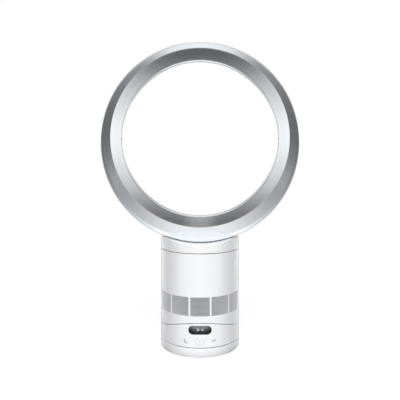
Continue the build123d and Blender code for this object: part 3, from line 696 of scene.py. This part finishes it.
window_rows = [row for row, p in enumerate(body_profile(0.0))
               if min(abs(p[1] - INTAKE_BOTTOM), abs(p[1] - INTAKE_TOP)) < SAME_POINT]
low_out, high_out, high_in, low_in = window_rows


def in_window(row, column):
    """Whether a face of the wall is left out for a window, outside or inside."""
    return row in (low_out, high_in) and column % (WINDOW_STEPS + 1) != WINDOW_STEPS


body_points, body_faces = lofted(column_rings(body_profile, body_angles), True, in_window)
body_columns = len(body_angles)
for column in range(body_columns):
    right = (column + 1) % body_columns
    if in_window(low_out, column):
        for outside, inside in ((low_out, low_in), (high_out, high_in)):
            body_faces.append((outside * body_columns + column, outside * body_columns + right,
                               inside * body_columns + right, inside * body_columns + column))
    if column % (WINDOW_STEPS + 1) in (0, WINDOW_STEPS):
        body_faces.append(tuple(row * body_columns + column for row in window_rows))
body_mesh = true_round(as_mesh("body_skin", body_points, body_faces))
place(body_mesh, "body_skin", white_plastic, "body", ["main_shell"])

# ---- The perforated panels in the windows --------------------------------------------
hole_step = 2 * half_window / HOLE_COLUMNS
row_height = (INTAKE_TOP - INTAKE_BOTTOM) / HOLE_ROWS


def cell_object(name, points, faces):
    """An object that a row pattern repeats."""
    mesh = bpy.data.meshes.new(name)
    mesh.from_pydata([Vector(p) * MM for p in points], [], faces)
    return bpy.data.objects.new(name, mesh)


def panel_cell(half_width, half_height):
    """One cell of a panel round the front of the column, with its hole."""
    front = SKIN - PANEL_SINK
    around = [(-1, -1), (0, -1), (1, -1), (1, 0), (1, 1), (0, 1), (-1, 1), (-1, 0)]
    count = len(around)
    points, faces = [], []
    for radius in (front, front - PANEL_WALL):
        for u, v in around:
            points.append(round_column(u * half_width, radius, v * half_height))
        for u, v in around:
            turn = math.atan2(v, u)
            points.append(round_column(HOLE_RADIUS * math.cos(turn) / front, radius,
                                       HOLE_RADIUS * math.sin(turn)))
    rim, hole, back_rim, back_hole = (count * n for n in range(4))
    for n in range(count):
        m = (n + 1) % count
        faces += [(n + rim, m + rim, m + hole, n + hole),
                  (m + back_rim, n + back_rim, n + back_hole, m + back_hole),
                  (n + hole, m + hole, m + back_hole, n + back_hole)]
    return cell_object("cell", points, faces)


def tooth_cell(half_width, half_height):
    """One solid tooth at the end of a staggered row."""
    points = [round_column(u * half_width, radius, v * half_height)
              for radius in (SKIN - TOOTH_SINK, SKIN - PANEL_SINK - PANEL_WALL)
              for u, v in ((-1, -1), (1, -1), (1, 1), (-1, 1))]
    faces = [(0, 1, 2, 3), (7, 6, 5, 4), (1, 0, 4, 5), (2, 1, 5, 6), (3, 2, 6, 7), (0, 3, 7, 4)]
    return cell_object("tooth", points, faces)


PATTERN_INPUTS = {"Windows": "Int", "Rows": "Int", "Columns": "Int", "Sector": "Float",
                  "Step": "Float", "Row_height": "Float", "Bottom": "Float", "Cell": "Object",
                  "Finish": "Material"}


def row_pattern(name, lay):
    """A geometry tree that sets one cell in rows round the column, where lay says."""
    tree = bpy.data.node_groups.new(name, "GeometryNodeTree")
    for label, kind in PATTERN_INPUTS.items():
        tree.interface.new_socket(label, in_out="INPUT", socket_type="NodeSocket" + kind)
    tree.interface.new_socket("Panels", in_out="OUTPUT", socket_type="NodeSocketGeometry")
    graph = Graph(tree)
    entry = tree.nodes.new("NodeGroupInput")
    value = {label: Wire(tree, entry.outputs[label]) for label in PATTERN_INPUTS}
    count, angle, row, keep = lay(value, graph.node("GeometryNodeInputIndex"))
    level = (row + 0.5) * value["Row_height"] + value["Bottom"]
    spots = graph.node("GeometryNodeSetPosition",
                       Geometry=graph.node("GeometryNodePoints", Count=count),
                       Position=graph.node("ShaderNodeCombineXYZ", Z=level))
    shape = graph.node("GeometryNodeObjectInfo", out="Geometry", Object=value["Cell"])
    cells = graph.node("GeometryNodeInstanceOnPoints", Points=spots, Selection=keep,
                       Instance=shape, Rotation=graph.node("ShaderNodeCombineXYZ", Z=angle))
    real = graph.node("GeometryNodeRealizeInstances", Geometry=cells)
    done = graph.node("GeometryNodeSetMaterial", Geometry=real, Material=value["Finish"])
    tree.links.new(done.socket, tree.nodes.new("NodeGroupOutput").inputs[0])
    return tree


def staggered(value, index):
    """Holed cells. Every second row moves half a step and lacks one cell."""
    column = index % value["Columns"]
    row = (index / value["Columns"]).floor() % value["Rows"]
    window = (index / value["Columns"] / value["Rows"]).floor()
    odd = row % 2.0
    offset = column - (value["Columns"] - 1.0) * 0.5 + odd * 0.5
    spare = odd * column.over(value["Columns"] - 1.5)
    return (value["Windows"] * value["Rows"] * value["Columns"],
            window * value["Sector"] + offset * value["Step"], row, 1 - spare)


def row_ends(value, index):
    """The half cells that the moved rows leave at both ends."""
    side = index % 2.0
    row = (index * 0.5).floor() % value["Rows"]
    window = (index * 0.5 / value["Rows"]).floor()
    offset = (side * 2.0 - 1.0) * ((value["Columns"] - 1.0) * 0.5 + 0.25)
    return (value["Windows"] * value["Rows"] * 2.0,
            window * value["Sector"] + offset * value["Step"], row, row % 2.0)


def spread(name, tree, cell, finish):
    """Evaluates a row pattern to a plain mesh."""
    holder = bpy.data.objects.new(name, bpy.data.meshes.new(name))
    for helper in (holder, cell):
        scene.collection.objects.link(helper)
    pattern = holder.modifiers.new(name, "NODES")
    pattern.node_group = tree
    chosen = {"Windows": WINDOWS, "Rows": HOLE_ROWS, "Columns": HOLE_COLUMNS, "Sector": sector,
              "Step": hole_step, "Row_height": row_height * MM, "Bottom": INTAKE_BOTTOM * MM,
              "Cell": cell, "Finish": finish}
    for socket in tree.interface.items_tree:
        if socket.name in chosen:
            pattern[socket.identifier] = chosen[socket.name]
    view = bpy.context.evaluated_depsgraph_get()
    mesh = bpy.data.meshes.new_from_object(holder.evaluated_get(view))
    for helper in (holder, cell):
        bpy.data.objects.remove(helper)
    return mesh


def close_panels(mesh):
    """Joins the cells and closes each panel's edge between its front and its back."""
    form = bmesh.new()
    form.from_mesh(mesh)
    bmesh.ops.remove_doubles(form, verts=form.verts, dist=CELL_MERGE * MM)
    front = (SKIN - PANEL_SINK) * MM
    middle = front - PANEL_WALL * MM / 2
    behind = KDTree(len(form.verts))
    for vert in form.verts:
        if vert.co.xy.length < middle:
            flat = vert.co.xy.normalized() * front
            behind.insert((flat.x, flat.y, vert.co.z), vert.index)
    behind.balance()
    form.verts.ensure_lookup_table()
    for edge in [e for e in form.edges if e.is_boundary]:
        a, b = edge.verts
        if a.co.xy.length > middle:
            form.faces.new((a, b, *(form.verts[behind.find(v.co)[1]] for v in (b, a))))
    bmesh.ops.recalc_face_normals(form, faces=form.faces)
    form.to_mesh(mesh)
    form.free()
    return mesh


panels = spread("panels", row_pattern("staggered_holes", staggered),
                panel_cell(hole_step / 2, row_height / 2), panel_plastic)
place(close_panels(panels), "intake_panels", panel_plastic, "body",
      ["intake_grille"])
teeth = spread("teeth", row_pattern("row_ends", row_ends),
               tooth_cell(hole_step / 4, row_height / 2), white_plastic)
place(teeth, "divider_teeth", white_plastic, "body")


# ---- The base with its window and button ---------------------------------------------
def pill_outline(half_length, radius, level, depth, segments):
    """Points of a lying pill that stands at a depth, and the line through its middle."""
    rim, core = [], []
    straight = half_length - radius
    for side in (1, -1):
        for n in range(segments + 1):
            turn = -math.pi / 2 + math.pi * n / segments
            x = side * (straight + radius * math.cos(turn))
            rim.append((x, depth, level + side * radius * math.sin(turn)))
            core.append((side * straight, depth, level))
    return rim, core


def bar(half_length, radius, level, near, far):
    """A solid that cuts a pill-shaped opening through the shell, from near to far."""
    ends = [pill_outline(half_length, radius, level, depth, PILL_STEPS)[0]
            for depth in (near, far)]
    points, faces = lofted(ends, False)
    count = len(ends[0])
    faces += [tuple(range(count)), tuple(range(count, 2 * count))]
    return as_mesh("bar", points, faces)


def base_profile(angle):
    """The base's wall up to the tilting seam."""
    return rounded([
        ((INNER, BASE_BOTTOM), 0),
        ((SKIN, BASE_BOTTOM), EDGE),
        ((SKIN, cradle_edge(SKIN, angle, BASE_CRADLE)), EDGE),
        ((INNER, cradle_edge(INNER, angle, BASE_CRADLE)), 0),
    ])


button_hole = BUTTON_ROUND + BUTTON_GAP
base_mesh = carve(turned("base_skin", base_profile), [
    bar(LENS_HALF + LENS_GAP, LENS_ROUND + LENS_GAP, LENS_LEVEL, *FRONT_CUT),
    bar(button_hole, button_hole - STUB, BUTTON_LEVEL, *FRONT_CUT),
])
place(true_round(base_mesh), "base_skin", white_plastic, "base",
      ["control_shell"])


def inlay(name, half_length, radius, level, sink, crown, wall):
    """A pill or a disc in the shell's front.

    Its round ends follow the shell's curve, and a pill is flat between them.
    """
    rim, core = pill_outline(half_length, radius, level, 0, INLAY_STEPS)

    def ring(share, depth):
        made = []
        for (x, _, z), (cx, _, cz) in zip(rim, core):
            at = cx + (x - cx) * share
            made.append((at, -math.sqrt((SKIN - depth) ** 2 - at**2), cz + (z - cz) * share))
        return made

    rings = [ring(0.0, sink + wall), ring(1.0, sink + wall)]
    rings += [ring(share, sink + drop * INLAY_DROP + crown) for share, drop in INLAY_EDGE]
    rings += [ring(share, sink + crown * share**2) for share in INLAY_FACE]
    return as_mesh(name, *lofted(rings, False), sharp=INLAY_SHARP)


lens = inlay("display_lens", LENS_HALF, LENS_ROUND, LENS_LEVEL, LENS_SINK, LENS_CROWN,
             LENS_WALL)
place(lens, "display_lens", smoked_window, "base", ["display_window"])
cap = inlay("button_cap", BUTTON_ROUND, BUTTON_ROUND - STUB, BUTTON_LEVEL, BUTTON_SINK,
            BUTTON_CROWN, BUTTON_WALL)
place(cap, "button_cap", white_plastic, "button")


# ---- Signs ---------------------------------------------------------------------------
def printed(name, ribbons, surface, material, body):
    """Thin printed marks on the front of the column, from pairs of lines side by side."""
    points, faces = [], []
    for left, right in ribbons:
        top = len(points)
        for depth in (PRINT_RISE, -PRINT_RISE):
            for x, z in (*left, *right):
                points.append(round_column(math.asin(x / surface), surface + depth, z))
        count = len(left)
        top_right, under, under_right = (top + count * n for n in (1, 2, 3))
        for n in range(count - 1):
            for a, b in ((top, top_right), (under, under_right), (top, under),
                         (top_right, under_right)):
                faces.append((a + n, a + n + 1, b + n + 1, b + n))
        for n in (0, count - 1):
            faces.append((top + n, top_right + n, under_right + n, under + n))
    place(as_mesh(name, points, faces), name, material, body)


def wedge(tip, base, level, half_height, steps=6):
    """A triangle that points along the column's front from its base to its tip."""
    left, right = [], []
    for n in range(steps + 1):
        x = base + (tip - base) * n / steps
        rise = half_height * (1 - n / steps) + TIP_HALF
        left.append((x, level + rise))
        right.append((x, level - rise))
    return left, right


def bow(x, level, outer, inner, start, end, shift=0.0, lift=0.0, steps=20):
    """A curved stroke. A shift and a lift of its inner line make it a crescent."""
    left, right = [], []
    for n in range(steps + 1):
        turn = math.radians(start + (end - start) * n / steps)
        left.append((x + outer * math.cos(turn), level + outer * math.sin(turn)))
        right.append((x + shift + inner * math.cos(turn), level + lift + inner * math.sin(turn)))
    return left, right


def stroke(x, low, high, half_width):
    """An upright stroke."""
    return [[(x + side * half_width, z) for z in (low, high)] for side in (-1, 1)]


display_sign = [wedge(tip=0.4, base=-5.3, level=49.3, half_height=2.9),
                wedge(tip=1.1, base=5.6, level=49.3, half_height=2.9)]
printed("display_sign", display_sign, SKIN - LENS_SINK, lit_ink, "base")
timer_sign = [bow(x=-24.4, level=28.9, outer=3.9, inner=3.1, start=105, end=345,
                  shift=1.2, lift=0.9)]
printed("timer_sign", timer_sign, SKIN, print_ink, "base")
swing_sign = [wedge(tip=20.0, base=23.5, level=29.5, half_height=2.4),
              wedge(tip=28.0, base=24.5, level=29.5, half_height=2.4)]
printed("swing_sign", swing_sign, SKIN, print_ink, "base")
power_sign = [bow(x=0, level=BUTTON_LEVEL - 0.3, outer=2.5, inner=2.0, start=-230, end=50),
              stroke(x=0, low=29.9, high=32.6, half_width=0.25)]
printed("power_sign", power_sign, SKIN - BUTTON_SINK, print_ink, "button")


# ---- The foot ------------------------------------------------------------------------
def foot_profile(angle):
    """The foot's wall with the outer part of its deck."""
    return rounded([
        ((INNER, FOOT_BOTTOM), 0),
        ((SKIN - FOOT_TAPER, FOOT_BOTTOM), FOOT_ROUND),
        ((SKIN, FOOT_BOTTOM + FOOT_SIDE), FOOT_SIDE / 2),
        ((SKIN, FOOT_TOP), EDGE),
        ((DECK_RIM, FOOT_TOP), 0),
        ((DECK_RIM, DECK_SPLIT), 0),
        ((DECK_RIM, DECK_BOTTOM), 0),
        ((INNER, DECK_BOTTOM), 0),
    ], segments=8)


gland_cut = bar(GLAND_HOLE, GLAND_HOLE - STUB, GLAND_LEVEL, *BACK_CUT)
foot_mesh = carve(turned("foot_skin", foot_profile), [gland_cut])
place(true_round(foot_mesh), "foot_skin", white_plastic, "foot",
      ["foot_shell"])

# ---- Camera --------------------------------------------------------------------------
CAMERA_PLACE = (0.0, -1.00699, 0.3604)  # in metres
CAMERA_DIP = 1.071  # degrees that it looks down

camera_data = bpy.data.cameras.new("camera")
camera_data.sensor_width = 36.0
camera_data.lens = 49.029
camera_data.shift_y = -0.1
camera_data.clip_start = 0.05
camera_data.clip_end = 50.0
camera = bpy.data.objects.new("camera", camera_data)
camera.location = CAMERA_PLACE
camera.rotation_euler = (math.radians(90 - CAMERA_DIP), 0.0, 0.0)
scene.collection.objects.link(camera)
scene.camera = camera
scene.view_settings.view_transform = "Standard"

# ---- Studio --------------------------------------------------------------------------
# The light of the side walls, by height from straight down, -1, to straight up, 1.
SIDE_WALLS = ((-1, 1.7), (-0.94, 1.55), (-0.9, 1.35), (-0.82, 1.0), (-0.75, 0.74), (-0.6, 0.46),
              (-0.42, 0.32), (-0.2, 0.2), (0.0, 0.15), (0.3, 0.16), (0.45, 0.2), (0.63, 0.27),
              (0.8, 0.36), (0.88, 0.62), (0.93, 0.95), (1.0, 1.15))
# The light of the back wall, from above or below the middle, 0, to beside it, 1.
BACK_WALL = ((0.0, 0.16), (0.26, 0.17), (0.5, 0.25), (0.6, 0.34), (0.707, 0.46), (0.866, 0.66),
             (0.96, 0.84), (1.0, 1.02))
FRONT_LIGHT = 0.75
LID_LIGHT = 1.15  # the back wall's upper part
GROUND_LIGHT = 0.95  # and its lower part
RIM_MOST = 1.4
DIFFUSE_CUT = 0.88  # the share of the studio that only the gloss sees
FRONT_SUN = 4.6
BACK_SUN = 2.0
SUN_SPREAD = 0.7


def studio():
    """A round studio: a broad light in front and above, bright behind the sides, dark beside."""
    world = bpy.data.worlds.new("studio")
    world.use_nodes = True
    scene.world = world
    graph = Graph(world.node_tree)
    x, y, z = graph.separate(graph.node("ShaderNodeTexCoord", out="Generated"))
    down = z * -1
    # In front: a broad light from above, and a panel from under the level to a little over it.
    panel = (graph.step(y * -1, 0.33, 0.52) * (1 - graph.step(z, 0.1, 0.4))
             * graph.step(z, -0.5, -0.36))
    ahead = graph.step(z * 0.31 - y, 0.26, 0.85).math("MAXIMUM", panel)
    # Behind: a fan of light round the way straight back, bright beside it and dark above it,
    # with a brighter rim further out and a faint glow in the dark part.
    behind = graph.step(y, 0.1, 0.8)
    off_axis = (x * x + z * z + 0.0001).math("SQRT")
    aside = x.size() / off_axis
    fan = (graph.tone(aside, BACK_WALL) * (0.89 + graph.step(aside, 0.6, 0.85) * 0.11)
           * (1 + graph.step(z, 0.0, 0.1) * 0.09))
    rim = (fan * (1 + graph.step(off_axis, 0.42, 0.55) * 1.6)).math("MINIMUM", RIM_MOST)
    fade = (1 + (0.31 - off_axis) * 6 * (1 - aside)).math("MAXIMUM", 0.5)
    glow = graph.step(z, 0.1, 0.2) * (1 - graph.step(aside, 0.05, 0.22)) * 0.22
    # The back wall ends in a light lid and a light ground.
    lid = graph.step(z, 0.5, 0.72)
    ground = graph.step(down, 0.48, 0.66)
    back = ((rim * fade + glow) * (1 - lid) * (1 - ground) + lid * LID_LIGHT
            + ground * (GROUND_LIGHT + graph.step(down, 0.73, 0.83) * 0.2))
    room = (graph.tone(z, SIDE_WALLS) * (1 - behind) * (1 - ahead) + back * behind
            + ahead * FRONT_LIGHT)
    camera_ray, through, diffuse = (
        graph.node("ShaderNodeLightPath", out=f"Is {kind} Ray")
        for kind in ("Camera", "Transmission", "Diffuse"))
    seen = camera_ray.math("MAXIMUM", through)  # plain white for the camera
    light = room * (1 - diffuse * DIFFUSE_CUT) * (1 - seen) + seen
    plug(graph.tree, graph.tree.nodes["Background"].inputs["Color"], light)


def sun(name, strength, direction):
    """A wide sun from a direction, which leaves no spot in the gloss."""
    data = bpy.data.lights.new(name, "SUN")
    data.energy = strength
    data.angle = SUN_SPREAD
    light = bpy.data.objects.new(name, data)
    light.location = direction
    light.rotation_euler = Vector(direction).to_track_quat("Z", "Y").to_euler()
    light.visible_camera = False
    light.visible_glossy = False
    scene.collection.objects.link(light)


studio()
sun("front_lamp", FRONT_SUN, (0, -0.7, 0.72))
sun("left_lamp", BACK_SUN, (-0.6, 0.8, 0.2))
sun("right_lamp", BACK_SUN, (0.6, 0.8, 0.2))

# ---- Floor ---------------------------------------------------------------------------
FLOOR_RADIUS = 4.0  # in metres, as is the drop
FLOOR_DROP = 0.0001
FLOOR_SIDES = 96
FLOOR_GLOW = 0.85  # share of plain white in what the camera sees


def floor_finish():
    """A pale floor that reads as white paper and keeps a soft shadow."""
    finish = Finish("white_paper", (0.9, 0.9, 0.9), 0.9)
    camera_ray = finish.node("ShaderNodeLightPath", out="Is Camera Ray")
    paper = finish.blend(finish.noise(400.0), (0.88, 0.88, 0.88), (0.92, 0.92, 0.92))
    finish.set(Base_Color=finish.blend(camera_ray, (0.05, 0.05, 0.05), paper))
    glow = finish.node("ShaderNodeEmission", Color=(1.0, 1.0, 1.0), Strength=1.01)
    surface = finish.node("ShaderNodeMixShader", i0=camera_ray * FLOOR_GLOW,
                          i1=Wire(finish.tree, finish.shader.outputs[0]), i2=glow)
    plug(finish.tree, finish.tree.nodes["Material Output"].inputs["Surface"], surface)
    return finish.material


floor_mesh = bpy.data.meshes.new("floor")
floor_spokes = [TAU * n / FLOOR_SIDES for n in range(FLOOR_SIDES)]
floor_mesh.from_pydata([(FLOOR_RADIUS * math.cos(a), FLOOR_RADIUS * math.sin(a), -FLOOR_DROP)
                        for a in floor_spokes], [], [tuple(range(FLOOR_SIDES))])
floor_mesh.materials.append(floor_finish())
floor = bpy.data.objects.new("floor", floor_mesh)
scene.collection.objects.link(floor)
floor.visible_glossy = False
